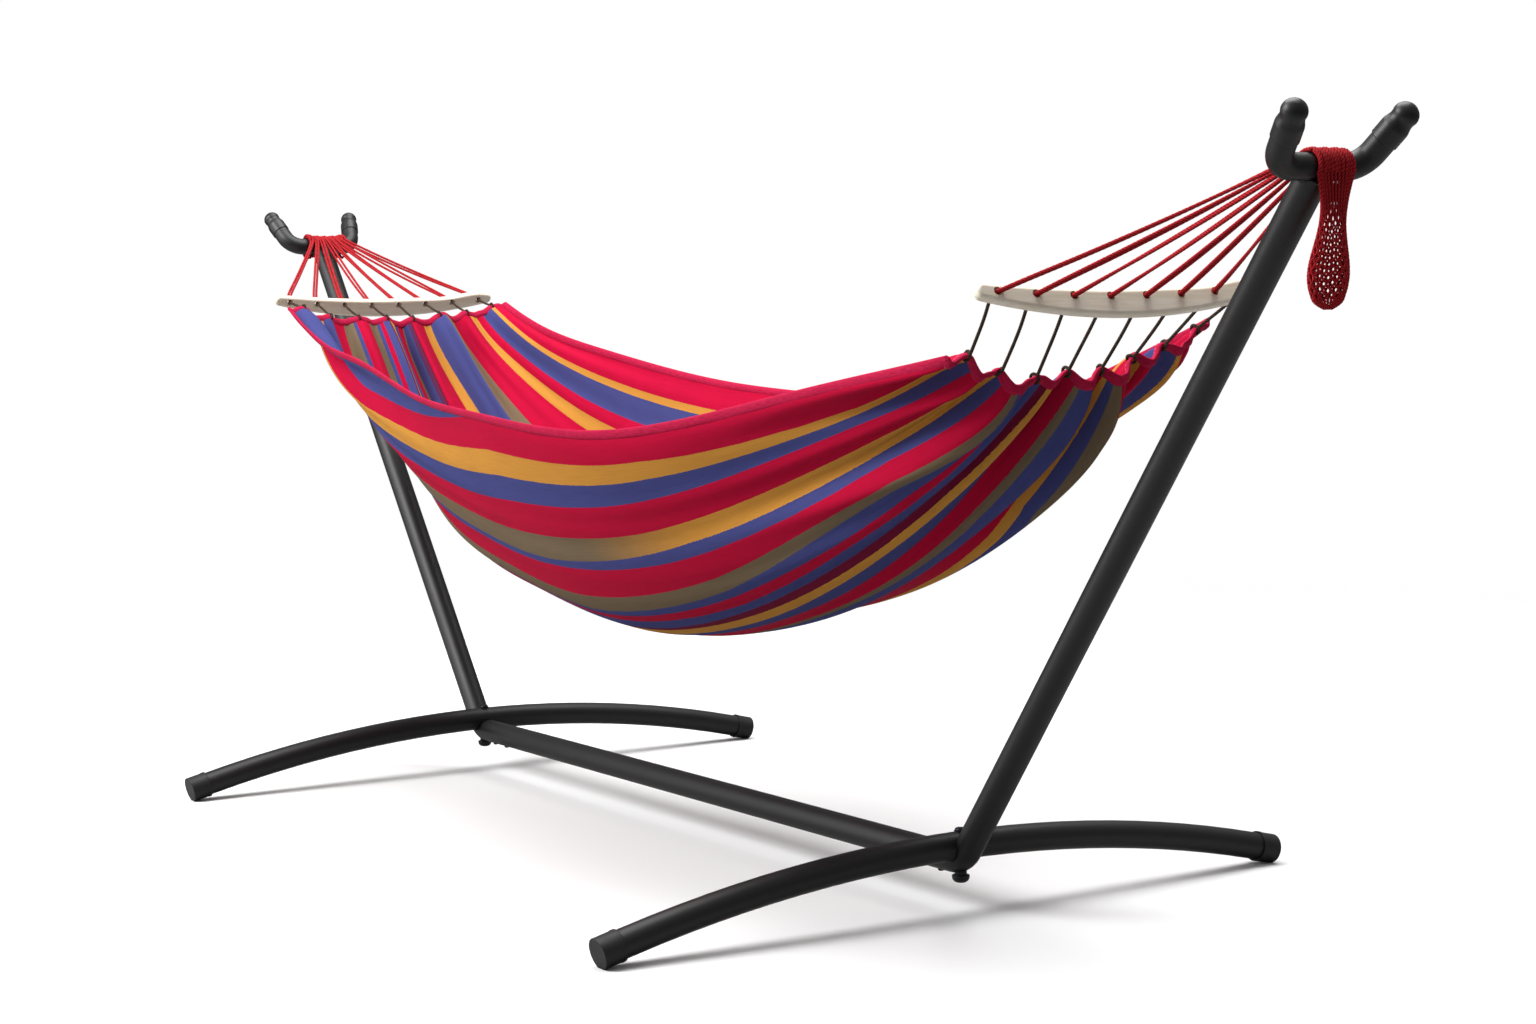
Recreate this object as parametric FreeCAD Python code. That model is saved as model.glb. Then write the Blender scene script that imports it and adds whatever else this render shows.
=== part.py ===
import FreeCAD, Part
import math
import os
from FreeCAD import Vector

# Hammock on a tubular steel stand, in millimetres.
# X runs along the hammock, Y along the feet and Z is up.
# The origin is on the floor under the middle of the stand.

os.makedirs("parts", exist_ok=True)

# Stand tubes
tube_dia = 42.0
tube_wall = 1.6
slip_gap = 0.2              # radial room of a sleeve, a cap or a saddle round its tube

# Arched feet
foot_half_span = 600.0      # middle of the stand to the outer face of a cap
foot_end_slope = 13.6       # degrees below level at each end
foot_straight = 40.0        # straight end that the cap slides on
cap_base = 4.0
cap_wall = 1.6
cap_length = 34.0
cap_lip = 0.7
cap_lip_length = 5.0
sole_cut = 1.5              # how much of a cap's lower rim is flattened

# Base beam and the bent foot of each post
beam_z = 76.0
corner_x = 797.0            # where the lines of the beam and the post meet
bend_radius = 46.0
stub_length = 78.0          # level end of a post, from the corner to the seam with the beam
sleeve_wall = 1.5
sleeve_in_beam = 60.0
sleeve_in_stub = 42.0
seam_gap = 0.3

# Cradles on top of the posts
cradle_x = 1542.0
cradle_z = 1037.0
cradle_dia = 34.0
cradle_wall = 2.0
cradle_lean = 43.0          # degrees that the horns lean outward from upright
cradle_flat_half = 42.0
cradle_bend = 34.0
horn_turn = 76.0
horn_straight = 37.0
tip_wall = 1.1
tip_overlap = 20.0          # how far a tip covers its horn
tip_edge = 0.7              # chamfer of its mouth
tip_shape = [               # distance past the horn's end and radius: shoulder, neck and ball end
    (6.0, 17.2),
    (11.0, 15.9),
    (15.0, 15.7),
    (20.0, 16.6),
    (26.0, 15.6),
    (31.5, 11.9),
    (35.3, 5.8),
]
tip_reach = 36.3
post_stop = 12.0            # distance from the post's open end to the cradle's axis
weld_gap = 0.1

# Bolts
bolt_dia = 8.0
bolt_hole_gap = 0.25
bolt_head_dia = 16.0
bolt_head_height = 4.0
washer_dia = 18.0
washer_crown = 1.2          # washer thickness over the crown of its tube
washer_side_gap = 2.3       # between the upper washer's crown and the leaning post
knob_dia = 26.0
knob_height = 11.0
knob_roof = 3.9             # solid end of a knob under its bore
thread_gap = 0.05
thread_end_gap = 0.5        # bolt end to the end of the knob's bore
screw_dia = 5.0
screw_head_dia = 10.0
screw_head_height = 3.0
screw_tip = 6.0             # how far a screw stands past the sleeve's inner face
head_round = 0.8            # share of a head's height that its rim is rounded over
screw_offset = 24.0         # each side of the seam

# Gathering loops over the cradles
wrap_thickness = 4.5
wrap_gap = 0.2
wrap_half_width = 29.0
wrap_inner_angle = 165.0
wrap_outer_angle = -20.0
wrap_right_y = 12.0
wrap_left_y = 8.0
tail_sections = [           # distance below the hinge, half width, half thickness and shift along Y
    (8.0, 26.0, 3.0, 0.0),
    (36.0, 21.0, 5.0, -3.0),
    (62.0, 20.5, 7.0, -6.0),
    (95.0, 27.0, 10.0, -10.0),
    (124.0, 31.0, 12.0, -13.0),
    (148.0, 25.0, 10.0, -14.0),
    (162.0, 10.0, 5.0, -14.0),
]

# Spreader bars
bar_half = 240.0
bar_thickness = 16.0
bar_tilt = 25.0             # degrees between the bar's bore and the level
bar_top_end = 23.0
bar_top_middle = 11.0
bar_bottom_end = 2.0
bar_bottom_middle = -25.0
bar_bow = 12.0              # how much higher a bar's ends stand than its middle
hook_to_bar_right = 362.0   # along X, from the cradle's axis to the bar's middle
hook_to_bar_left = 323.0
bar_right_z = 884.0
bar_left_z = 908.0
bar_round = 5.0
hole_count = 8
hole_pitch = 60.0
hole_dia = 12.0
hole_height = 2.0           # of the holes above the bar's middle line

# Suspension strands and lashing cords
strand_dia = 5.0
strand_pair_offset = 2.9    # each side of the hole's middle
strand_gap = 2.0            # strand end to the face of the bar
strand_start_side = 8.5     # past the post's side, inward from the cradle's axis
strand_start_z = 10.0       # above the cradle's axis
strand_row = 3.0            # upper and lower row, each side of strand_start_z
strand_pitch_right = 3.8
strand_pitch_left = 5.4
lashing_dia = 5.0
lashing_gap = 3.0           # cord end to the cloth

# Cloth bed: share of the way from the middle to an end, half width at the rim, height of the rim,
# height of the bottom, and how much higher than the rim's height the back hangs and the front lower
bar_to_cloth_right = 85.0   # along X, from the bar's middle to the cloth's end
bar_to_cloth_left = 71.0
cloth_thickness = 4.0
cloth_power = 2.3
bed_sections = [
    (-1.0, 240.0, 905.0, 876.0, 1.0),
    (-0.662, 265.0, 807.0, 496.0, 0.0),
    (-0.3136, 324.0, 746.0, 377.0, 0.0),
    (0.0, 372.0, 717.0, 340.0, 0.0),
    (0.3288, 345.0, 701.0, 382.0, 0.0),
    (0.694, 262.0, 761.0, 526.0, 3.0),
    (1.0, 222.0, 833.0, 782.0, 20.0),
]
section_steps = 8           # spans of each section's curve

# Sizes that follow from the ones above
tube_r = tube_dia / 2
cradle_r = cradle_dia / 2
cap_r = tube_r + slip_gap + cap_wall
slope = math.radians(foot_end_slope)
foot_end_z = cap_r * math.cos(slope) - sole_cut
foot_tail = foot_straight + cap_base
foot_radius = (foot_half_span - foot_tail * math.cos(slope)) / math.sin(slope)
foot_mid_z = foot_end_z + foot_radius * (1 - math.cos(slope)) + foot_tail * math.sin(slope)
post_rise = cradle_z - beam_z
post_run = cradle_x - corner_x
post_lean = math.atan2(post_run, post_rise)
bend_turn = math.pi / 2 - post_lean
crown_rise = foot_mid_z + tube_r - beam_z
foot_x = (corner_x + crown_rise * math.tan(post_lean) - tube_r / math.cos(post_lean)
          - washer_dia / 2 - washer_side_gap)
seam_x = corner_x - stub_length
bolt_hole_r = bolt_dia / 2 + bolt_hole_gap
wrap_r = cradle_r + wrap_gap
tilt = math.radians(bar_tilt)
bar_right_x = cradle_x - hook_to_bar_right
bar_left_x = cradle_x - hook_to_bar_left
cloth_right_x = bar_right_x - bar_to_cloth_right
cloth_left_x = bar_left_x - bar_to_cloth_left


def save(shape, name):
    """Write one sub-part and print its volume."""
    shape.exportStep("parts/" + name + ".step")
    print(name, "valid" if shape.isValid() else "NOT VALID", round(shape.Volume / 1000, 2), "cm3")


def mirrored(shape, side):
    """The shape as drawn for side 1, mirrored across the middle for side -1."""
    if side > 0:
        return shape
    return shape.mirror(Vector(0, 0, 0), Vector(1, 0, 0))


def rod(start, end, radius):
    """A straight round rod from start to end."""
    return Part.makeCylinder(radius, (end - start).Length, start, end - start)


def sweep(path, start, direction, radius):
    """A round solid along a path of tangent lines and arcs."""
    ring = Part.Wire(Part.makeCircle(radius, start, direction))
    return Part.Wire(path).makePipeShell([ring], True, False)


def arc(first, middle, last):
    return Part.Arc(first, middle, last).toShape()


# Feet

def foot_path(side_x, reach):
    """Middle line of a foot: straight end, arc and straight end, stopping reach past each arc."""
    centre = Vector(side_x, 0, foot_mid_z - foot_radius)

    def on_arc(sign):
        up = Vector(0, sign * math.sin(slope), math.cos(slope)) * foot_radius
        return centre + up

    near, far = on_arc(-1), on_arc(1)
    near_end = near + Vector(0, -math.cos(slope), -math.sin(slope)) * reach
    far_end = far + Vector(0, math.cos(slope), -math.sin(slope)) * reach
    crown = Vector(side_x, 0, foot_mid_z)
    edges = [Part.makeLine(near_end, near), arc(near, crown, far), Part.makeLine(far, far_end)]
    return edges, near_end, near - near_end


def bolt_bore():
    """The upright bore of the foot bolt, long enough to pass every tube."""
    low = Vector(foot_x, 0, beam_z - tube_dia)
    return rod(low, Vector(foot_x, 0, foot_mid_z + tube_dia), bolt_hole_r)


def foot_tube():
    edges, start, direction = foot_path(foot_x, foot_straight)
    outer = sweep(edges, start, direction, tube_r)
    inner = sweep(edges, start, direction, tube_r - tube_wall)
    return outer.cut(inner).cut(bolt_bore())


def foot_cap(side_y):
    """Moulded sleeve with a closed end, a raised lip at its mouth and a flat sole."""
    out = Vector(0, math.cos(slope) * side_y, -math.sin(slope))
    face = Vector(foot_x, foot_half_span * side_y, foot_end_z)
    mouth = face - out * cap_length
    body = rod(mouth, face, cap_r)
    lip = rod(mouth, mouth + out * cap_lip_length, cap_r + cap_lip)
    hollow = rod(mouth - out, face - out * cap_base, tube_r + slip_gap)
    cap = body.fuse(lip).cut(hollow).removeSplitter()
    floor = Part.makeBox(200, 200, 100, Vector(foot_x - 100, foot_half_span * side_y - 100, -100))
    return cap.cut(floor)


# Beam and posts

def saddle(radius):
    """Straight round bar in the place of the foot's middle."""
    half = Vector(0, tube_dia, 0)
    middle = Vector(foot_x, 0, foot_mid_z)
    return rod(middle - half, middle + half, radius)


def post_path():
    """Level stub, bend and leaning run, in the plane of the stand."""
    reach = bend_radius * math.tan(bend_turn / 2)
    corner = Vector(corner_x, 0, beam_z)
    along = Vector(math.sin(post_lean), 0, math.cos(post_lean))
    start = Vector(seam_x + seam_gap / 2, 0, beam_z)
    bend_start = corner - Vector(reach, 0, 0)
    bend_end = corner + along * reach
    centre = bend_start + Vector(0, 0, bend_radius)
    half = bend_turn / 2
    middle = centre + Vector(math.sin(half), 0, -math.cos(half)) * bend_radius
    top = Vector(cradle_x, 0, cradle_z) - along * post_stop
    edges = [Part.makeLine(start, bend_start), arc(bend_start, middle, bend_end)]
    edges.append(Part.makeLine(bend_end, top))
    return edges, start


def screw_places(side):
    """Where the two screws of a seam stand, and that they point up from below."""
    return [Vector(side * (seam_x + step * screw_offset), 0, beam_z - tube_r) for step in (-1, 1)]


def screw_bores(side):
    bores = []
    for place in screw_places(side):
        top = place + Vector(0, 0, tube_r)
        bores.append(rod(place - Vector(0, 0, 1), top, screw_dia / 2 + bolt_hole_gap))
    return bores[0].fuse(bores[1])


def post():
    """Bent tube with a pressed saddle for the foot, coped round the cradle."""
    edges, start = post_path()
    level = Vector(1, 0, 0)
    outer = sweep(edges, start, level, tube_r).cut(saddle(tube_r + slip_gap))
    inner = sweep(edges, start, level, tube_r - tube_wall).cut(saddle(tube_r + slip_gap + tube_wall))
    half = Vector(0, tube_dia, 0)
    middle = Vector(cradle_x, 0, cradle_z)
    cope = rod(middle - half, middle + half, cradle_r + weld_gap)
    return outer.cut(inner).cut(cope).cut(bolt_bore()).cut(screw_bores(1))


def base_beam():
    end = seam_x - seam_gap / 2
    left, right = Vector(-end, 0, beam_z), Vector(end, 0, beam_z)
    tube = rod(left, right, tube_r).cut(rod(left, right, tube_r - tube_wall))
    return tube.cut(screw_bores(1)).cut(screw_bores(-1))


def beam_sleeve():
    """Inner tube across the seam of beam and post."""
    start = Vector(seam_x - sleeve_in_beam, 0, beam_z)
    end = Vector(seam_x + sleeve_in_stub, 0, beam_z)
    radius = tube_r - tube_wall - slip_gap
    return rod(start, end, radius).cut(rod(start, end, radius - sleeve_wall)).cut(screw_bores(1))


def seam_screws():
    """Two button-head screws that enter from below."""
    screws = []
    for place in screw_places(1):
        tip = place + Vector(0, 0, tube_wall + slip_gap + sleeve_wall + screw_tip)
        shank = rod(place, tip, screw_dia / 2)
        head = rod(place - Vector(0, 0, screw_head_height), place, screw_head_dia / 2)
        rim = [edge for edge in head.Edges if abs(edge.BoundBox.ZMax - head.BoundBox.ZMin) < 0.01]
        head = head.makeFillet(screw_head_height * head_round, rim)
        screws.append(shank.fuse(head))
    return Part.makeCompound(screws)


def foot_washers():
    """Saddle washers on the crown of the foot and under the beam, flat on their outer side."""
    top = foot_mid_z + tube_r + washer_crown
    bottom = beam_z - tube_r - washer_crown
    upper = rod(Vector(foot_x, 0, foot_mid_z), Vector(foot_x, 0, top), washer_dia / 2)
    upper = upper.cut(saddle(tube_r + slip_gap / 2))
    lower = rod(Vector(foot_x, 0, bottom), Vector(foot_x, 0, beam_z), washer_dia / 2)
    edges, start = post_path()
    lower = lower.cut(sweep(edges, start, Vector(1, 0, 0), tube_r + slip_gap / 2))
    lower = max(lower.Solids, key=lambda solid: -solid.CenterOfMass.z)
    return Part.makeCompound([upper.cut(bolt_bore()), lower.cut(bolt_bore())])


def foot_bolt():
    """Round-head bolt down through foot and beam."""
    seat = foot_mid_z + tube_r + washer_crown
    end = beam_z - tube_r - washer_crown - knob_height + knob_roof + thread_end_gap
    shank = rod(Vector(foot_x, 0, end), Vector(foot_x, 0, seat), bolt_dia / 2)
    head = rod(Vector(foot_x, 0, seat), Vector(foot_x, 0, seat + bolt_head_height), bolt_head_dia / 2)
    rim = [edge for edge in head.Edges if abs(edge.BoundBox.ZMin - head.BoundBox.ZMax) < 0.01]
    return shank.fuse(head.makeFillet(bolt_head_height * head_round, rim))


def foot_knob():
    """Closed round nut that hides the end of the bolt."""
    seat = beam_z - tube_r - washer_crown
    low = Vector(foot_x, 0, seat - knob_height)
    body = rod(low, Vector(foot_x, 0, seat), knob_dia / 2)
    rim = [edge for edge in body.Edges if abs(edge.BoundBox.ZMax - body.BoundBox.ZMin) < 0.01]
    body = body.makeFillet(knob_height * head_round, rim)
    depth = Vector(foot_x, 0, seat - knob_height + knob_roof)
    return body.cut(rod(depth, Vector(foot_x, 0, seat + 1), bolt_dia / 2 + thread_gap))


# Cradles

def cradle_point(across, up):
    """A point in the cradle's leaning plane."""
    lean = math.radians(cradle_lean)
    return Vector(cradle_x + up * math.sin(lean), across, cradle_z + up * math.cos(lean))


def horn_ends(sign):
    """Start and end of one horn's bend and the end of its straight, in the leaning plane."""
    turn = math.radians(horn_turn)
    bend_start = cradle_point(sign * cradle_flat_half, 0)
    half = turn / 2
    middle = cradle_point(sign * (cradle_flat_half + cradle_bend * math.sin(half)),
                          cradle_bend * (1 - math.cos(half)))
    across = cradle_flat_half + cradle_bend * math.sin(turn)
    up = cradle_bend * (1 - math.cos(turn))
    bend_end = cradle_point(sign * across, up)
    end = cradle_point(sign * (across + horn_straight * math.cos(turn)),
                       up + horn_straight * math.sin(turn))
    return bend_start, middle, bend_end, end


def cradle():
    """U of tube whose two horns keep the loop on."""
    near, far = horn_ends(-1), horn_ends(1)
    edges = [Part.makeLine(near[3], near[2]), arc(near[2], near[1], near[0])]
    edges.append(Part.makeLine(near[0], far[0]))
    edges += [arc(far[0], far[1], far[2]), Part.makeLine(far[2], far[3])]
    direction = near[2] - near[3]
    outer = sweep(edges, near[3], direction, cradle_r)
    return outer.cut(sweep(edges, near[3], direction, cradle_r - cradle_wall))


def horn_tip(sign):
    """Rubber cap with a neck and a ball end on a horn, turned about the horn's line."""
    bend_end, end = horn_ends(sign)[2:]
    bore = cradle_r + slip_gap
    outer = bore + tip_wall
    corners = [(0, 0), (bore, 0), (bore, -tip_overlap), (outer - tip_edge, -tip_overlap),
               (outer, tip_edge - tip_overlap), (outer, 0)]
    sides = Part.makePolygon([Vector(radius, 0, along) for radius, along in corners]).Edges
    shape = [Vector(outer, 0, 0)] + [Vector(radius, 0, along) for along, radius in tip_shape]
    crown = Part.BSplineCurve()
    crown.interpolate(Points=shape + [Vector(0, 0, tip_reach)],
                      InitialTangent=Vector(0, 0, 1), FinalTangent=Vector(-1, 0, 0))
    axis = Part.makeLine(Vector(0, 0, tip_reach), Vector(0, 0, 0))
    tip = Part.Face(Part.Wire(sides + [crown.toShape(), axis])).revolve(Vector(0, 0, 0), Vector(0, 0, 1), 360)
    tip.Placement = FreeCAD.Placement(end, FreeCAD.Rotation(Vector(0, 0, 1), end - bend_end))
    return tip


# Gathering loops

def loop_wrap(middle_y):
    """Band of cord laid over the cradle, from its outer side over the top to the inner side."""
    start = math.radians(wrap_outer_angle)
    direction = Vector(math.cos(start), 0, math.sin(start))
    centre = Vector(cradle_x, middle_y, cradle_z)
    across = Vector(0, wrap_half_width, 0)
    near, far = centre + direction * wrap_r, centre + direction * (wrap_r + wrap_thickness)
    outline = Part.makePolygon([near - across, far - across, far + across, near + across, near - across])
    return Part.Face(outline).revolve(centre, Vector(0, -1, 0), wrap_inner_angle - wrap_outer_angle)


def tail_hinge():
    """The line, seen as a point, where the tail leaves the cradle."""
    angle = math.radians(wrap_outer_angle)
    radius = wrap_r + wrap_thickness / 2
    return Vector(cradle_x + radius * math.cos(angle), wrap_right_y, cradle_z + radius * math.sin(angle))


def loop_tail():
    """Slack end of the netted loop, hanging outside the post."""
    hinge = tail_hinge()
    rings = []
    for drop, half_width, half_thickness, shift in tail_sections:
        centre = hinge + Vector(0, shift, -drop)
        long_end = centre + Vector(0, half_width, 0)
        short_end = centre + Vector(half_thickness, 0, 0)
        ellipse = Part.Ellipse(long_end, short_end, centre)
        rings.append(Part.Wire(ellipse.toShape()))
    return Part.makeLoft(rings, True, False)


# Spreader bars, strands and lashings

def bar_frame(side):
    """Middle of a bar, its bore direction towards the hook and its height direction."""
    if side > 0:
        centre = Vector(bar_right_x, 0, bar_right_z)
    else:
        centre = Vector(-bar_left_x, 0, bar_left_z)
    bore = Vector(side * math.cos(tilt), 0, math.sin(tilt))
    height = Vector(-side * math.sin(tilt), 0, math.cos(tilt))
    return centre, bore, height


def hole_y(index):
    return (index - (hole_count - 1) / 2) * hole_pitch


def hole_up(index):
    """Height of a hole above the bar's middle, along the bow of the bar."""
    return hole_height + bar_bow * (hole_y(index) / bar_half) ** 2


def spreader_bar(side):
    """Bowed slat with rounded ends, drilled for the cords."""
    centre, bore, height = bar_frame(side)
    back = centre - bore * (bar_thickness / 2)

    def at(across, up):
        return back + Vector(0, across, 0) + height * up

    end_half = (bar_top_end - bar_bottom_end) / 2
    end_middle = (bar_top_end + bar_bottom_end) / 2
    straight = bar_half - end_half
    shares = [step / 3 - 1 for step in range(7)]
    top = [at(share * straight, bar_top_middle + (bar_top_end - bar_top_middle) * share ** 2)
           for share in shares]
    bottom = [at(-share * straight, bar_bottom_middle + (bar_bottom_end - bar_bottom_middle) * share ** 2)
              for share in shares]

    def rounded(sign):
        turns = [math.radians(angle) for angle in (45, 0, -45)]
        return [at(sign * (straight + end_half * math.cos(turn)), end_middle + sign * end_half * math.sin(turn))
                for turn in turns]

    outline = Part.BSplineCurve()
    outline.interpolate(Points=top + rounded(1) + bottom + rounded(-1), PeriodicFlag=True)
    slat = Part.Face(Part.Wire(outline.toShape())).extrude(bore * bar_thickness)
    rims = [edge for edge in slat.Edges if edge.Length > bar_half]
    slat = slat.makeFillet(bar_round, rims)
    for index in range(hole_count):
        mouth = at(hole_y(index), hole_up(index))
        slat = slat.cut(rod(mouth - bore, mouth + bore * (bar_thickness + 1), hole_dia / 2))
    return slat


def strand_pair(side, index):
    """The two strands of one hole, from the loop to the bar."""
    centre, bore, height = bar_frame(side)
    pitch = strand_pitch_right if side > 0 else strand_pitch_left
    middle = wrap_right_y if side > 0 else wrap_left_y
    strands = []
    for half in (0, 1):
        count = 2 * index + half
        row = strand_row if half else -strand_row
        start = Vector(side * (cradle_x - tube_r - strand_start_side),
                       middle + (count - hole_count + 0.5) * pitch,
                       cradle_z + strand_start_z + row)
        beside = hole_y(index) + (2 * half - 1) * strand_pair_offset
        end = centre + Vector(0, beside, 0) + height * hole_up(index)
        end += bore * (bar_thickness / 2 + strand_gap)
        strands.append(rod(start, end, strand_dia / 2))
    return Part.makeCompound(strands)


def bed_height(share, rim, bottom, lean):
    """Height of a section's curve at a share of its half width."""
    return bottom + (rim - bottom) * abs(share) ** cloth_power + lean * share


def cloth_x(share):
    return share * (cloth_right_x if share > 0 else cloth_left_x)


def lashing_cord(side, index):
    """One cord from a hole of the bar to the edge of the cloth."""
    centre, bore, height = bar_frame(side)
    end_share, half_width, rim, bottom, lean = bed_sections[-1] if side > 0 else bed_sections[0]
    share = (2 * index - hole_count + 1) / hole_count
    start = centre + Vector(0, hole_y(index), 0) + height * hole_up(index)
    start -= bore * (bar_thickness / 2 + strand_gap)
    middle_z = bed_height(share, rim, bottom, lean) + cloth_thickness / 2
    end_x = cloth_x(end_share) + side * lashing_gap
    end = Vector(end_x, share * (half_width - cloth_thickness / 2), middle_z)
    return rod(start, end, lashing_dia / 2)


def lashings(side):
    return Part.makeCompound([lashing_cord(side, index) for index in range(hole_count)])


# Cloth bed

def bed_ring(section):
    """Closed outline of one section of the cloth: outer curve, rim, inner curve, rim."""
    end_share, half_width, rim, bottom, lean = section
    place = cloth_x(end_share)

    def curve(width, low, turn):
        points = []
        for step in range(section_steps + 1):
            share = turn * math.sin(math.pi * (step / section_steps - 0.5))
            points.append(Vector(place, share * width, bed_height(share, rim, low, lean)))
        spline = Part.BSplineCurve()
        spline.interpolate(points)
        return spline.toShape(), points[0], points[-1]

    outer, outer_start, outer_end = curve(half_width, bottom, 1)
    inner, inner_start, inner_end = curve(half_width - cloth_thickness, bottom + cloth_thickness, -1)
    rims = [Part.makeLine(outer_end, inner_start), Part.makeLine(inner_end, outer_start)]
    return Part.Wire([outer, rims[0], inner, rims[1]])


def hammock_bed():
    return Part.makeLoft([bed_ring(section) for section in bed_sections], True, False)


# Write every sub-part

save(base_beam(), "base_beam")
for side, word in ((1, "right"), (-1, "left")):
    save(mirrored(post(), side), "post_" + word)
    save(mirrored(beam_sleeve(), side), "beam_sleeve_" + word)
    save(mirrored(seam_screws(), side), "seam_screws_" + word)
    save(mirrored(foot_tube(), side), "foot_tube_" + word)
    save(mirrored(foot_washers(), side), "foot_washers_" + word)
    save(mirrored(foot_bolt(), side), "foot_bolt_" + word)
    save(mirrored(foot_knob(), side), "foot_knob_" + word)
    save(mirrored(cradle(), side), "cradle_" + word)
    for side_y, place in ((-1, "front"), (1, "back")):
        save(mirrored(foot_cap(side_y), side), "foot_cap_" + word + "_" + place)
        save(mirrored(horn_tip(side_y), side), "horn_tip_" + word + "_" + place)
    middle = wrap_right_y if side > 0 else wrap_left_y
    save(mirrored(loop_wrap(middle), side), "loop_wrap_" + word)
    save(spreader_bar(side), "spreader_bar_" + word)
    save(lashings(side), "lashing_cords_" + word)
    for index in range(hole_count):
        save(strand_pair(side, index), "strands_" + word + "_" + str(index + 1))
save(loop_tail(), "loop_tail")
save(hammock_bed(), "hammock_bed")
hinge = tail_hinge()
print("tail hinge", round(hinge.x, 2), round(hinge.y, 2), round(hinge.z, 2))
print("foot at", round(foot_x, 2), "middle height", round(foot_mid_z, 2), "end height", round(foot_end_z, 2))
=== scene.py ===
import bpy
import math
import numpy as np
from mathutils import Matrix, Vector


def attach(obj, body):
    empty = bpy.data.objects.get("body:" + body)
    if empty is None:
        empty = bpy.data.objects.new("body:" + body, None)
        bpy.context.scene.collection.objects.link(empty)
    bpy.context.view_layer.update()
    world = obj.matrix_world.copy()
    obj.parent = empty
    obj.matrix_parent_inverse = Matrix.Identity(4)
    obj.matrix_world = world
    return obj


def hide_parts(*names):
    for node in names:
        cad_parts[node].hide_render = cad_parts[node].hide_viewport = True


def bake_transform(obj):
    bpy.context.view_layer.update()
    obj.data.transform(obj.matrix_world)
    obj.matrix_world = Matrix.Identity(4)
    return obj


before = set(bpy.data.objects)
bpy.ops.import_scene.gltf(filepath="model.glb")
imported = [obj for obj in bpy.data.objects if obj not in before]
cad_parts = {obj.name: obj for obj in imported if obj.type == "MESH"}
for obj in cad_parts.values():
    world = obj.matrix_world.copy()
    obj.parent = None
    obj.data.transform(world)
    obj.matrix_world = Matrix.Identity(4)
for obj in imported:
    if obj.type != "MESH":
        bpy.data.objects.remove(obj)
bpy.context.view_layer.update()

# Hammock on a steel stand: the looks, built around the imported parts. Metres, X along the hammock, Z up.

print("frame loaded:", len(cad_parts), "parts")


# Tools that several pieces share

def linear(code):
    # sRGB hex to a linear colour
    channels = [int(code[start:start + 2], 16) / 255 for start in (0, 2, 4)]
    return [c / 12.92 if c <= 0.04045 else ((c + 0.055) / 1.055) ** 2.4 for c in channels] + [1.0]


def addNode(owner, kind, inputs=None, **settings):
    # one node of a material or the world, with its settings, socket values and incoming links. Its kind
    # is Blender's name for it without the ShaderNode in front
    tree = owner.node_tree
    node = tree.nodes.new("ShaderNode" + kind)
    for name, value in settings.items():
        setattr(node, name, value)
    for socket, value in (inputs or {}).items():
        if isinstance(value, bpy.types.NodeSocket):
            tree.links.new(value, node.inputs[socket])
        else:
            node.inputs[socket].default_value = value
    return node


def newSurface(name, values):
    # a material whose shader starts from these socket values
    material = bpy.data.materials.new(name)
    material.use_nodes = True
    shader = material.node_tree.nodes["Principled BSDF"]
    for socket, value in values.items():
        shader.inputs[socket].default_value = value
    return material, shader


def feed(owner, node, socket, output):
    owner.node_tree.links.new(output, node.inputs[socket])


def gridMesh(name, points, closedRows=False, closedColumns=False, uv=None, caps=False):
    # a mesh from a grid of points (rows, columns, 3): each cell is one quad.
    # closedColumns joins the last column to the first, closedRows the last row to the first,
    # and caps closes the first and last rings with one face each.
    rows, columns = points.shape[:2]
    index = np.arange(rows * columns).reshape(rows, columns)
    if closedColumns:
        index = np.concatenate([index, index[:, :1]], 1)
    if closedRows:
        index = np.concatenate([index, index[:1]], 0)
    quads = np.stack([index[:-1, :-1], index[:-1, 1:], index[1:, 1:], index[1:, :-1]], -1).reshape(-1, 4)
    ends = []
    if caps:
        ends = [index[0, :columns][::-1], index[rows - 1, :columns]]
    mesh = bpy.data.meshes.new(name)
    mesh.from_pydata(points.reshape(-1, 3).tolist(), [], quads.tolist() + [end.tolist() for end in ends])
    if uv is not None:
        # uv holds one more row or column than points where the grid closes
        cells = np.stack([uv[:-1, :-1], uv[:-1, 1:], uv[1:, 1:], uv[1:, :-1]], -2).reshape(-1, 2)
        extra = sum(len(end) for end in ends)
        cells = np.concatenate([cells, np.zeros((extra, 2))])
        layer = mesh.uv_layers.new(name="UVMap")
        layer.data.foreach_set("uv", cells.astype(np.float32).ravel())
    mesh.polygons.foreach_set("use_smooth", np.ones(len(mesh.polygons), dtype=bool))
    mesh.update()
    return mesh


def newPiece(name, mesh, material, body=None, replaced=()):
    # put a finished mesh in the scene, riding on its body where it has one
    piece = bpy.data.objects.new(name, mesh)
    bpy.context.scene.collection.objects.link(piece)
    piece.data.materials.append(material)
    if body:
        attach(piece, body)
    if replaced:
        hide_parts(*replaced)
    return piece


def joinMeshes(name, meshes):
    # several meshes as one, with their UVs
    holder = [bpy.data.objects.new(name + "Part", mesh) for mesh in meshes]
    for part in holder:
        bpy.context.scene.collection.objects.link(part)
    with bpy.context.temp_override(active_object=holder[0], selected_editable_objects=holder,
                                   selected_objects=holder, object=holder[0]):
        bpy.ops.object.join()
    mesh = holder[0].data
    bpy.data.objects.remove(holder[0])
    mesh.name = name
    return mesh


def unit(vectors):
    return vectors / np.linalg.norm(vectors, axis=-1, keepdims=True)


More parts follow.
